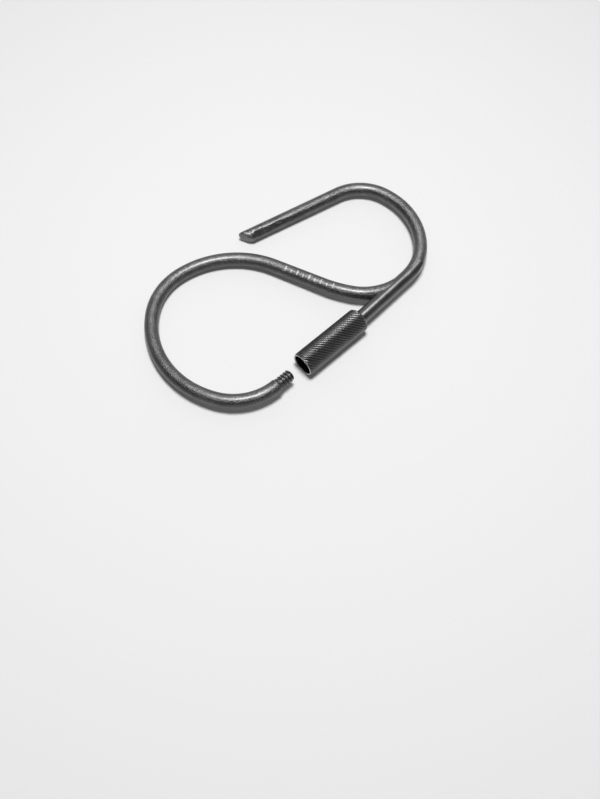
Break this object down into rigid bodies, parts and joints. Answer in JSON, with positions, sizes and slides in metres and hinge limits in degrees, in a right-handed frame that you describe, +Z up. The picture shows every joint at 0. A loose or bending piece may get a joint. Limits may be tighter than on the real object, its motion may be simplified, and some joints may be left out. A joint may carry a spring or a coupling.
{
  "type": "screw-closed belt hook key ring",
  "caption": "Flat key ring of bent black steel wire: an open hook, an S-shaped middle and a round key loop closed by a knurled screw sleeve.",
  "frame": {"origin": "middle of the ring's footprint, on the surface that it lies on", "axes": "+X along the closing axis, from the stud and sleeve towards the hook's eye; +Y across the ring towards the hook's tip; +Z up"},
  "size_m": [0.074, 0.0418, 0.0058],
  "materials": {
    "black_steel": "satin black oxide",
    "knurled_steel": "satin black oxide, knurled",
    "inside_steel": "dull dark steel"
  },
  "bodies": {
    "ring": {"loop_wire": "black_steel", "hook_and_rod_wire": "black_steel", "retaining_collar": "inside_steel"},
    "insert": {"threaded_insert": "inside_steel"},
    "sleeve": {"knurled_sleeve": "knurled_steel"}
  },
  "joints": [
    {"name": "sleeve_slide", "type": "slide", "parent": "ring", "child": "insert", "axis": [-1, 0, 0], "range_m": [-0.0012, 0.0079]},
    {"name": "sleeve_spin", "type": "hinge", "parent": "insert", "child": "sleeve", "pos_m": [-0.01289, -0.01797, 0.0029], "axis": [1, 0, 0], "continuous": true}
  ]
}
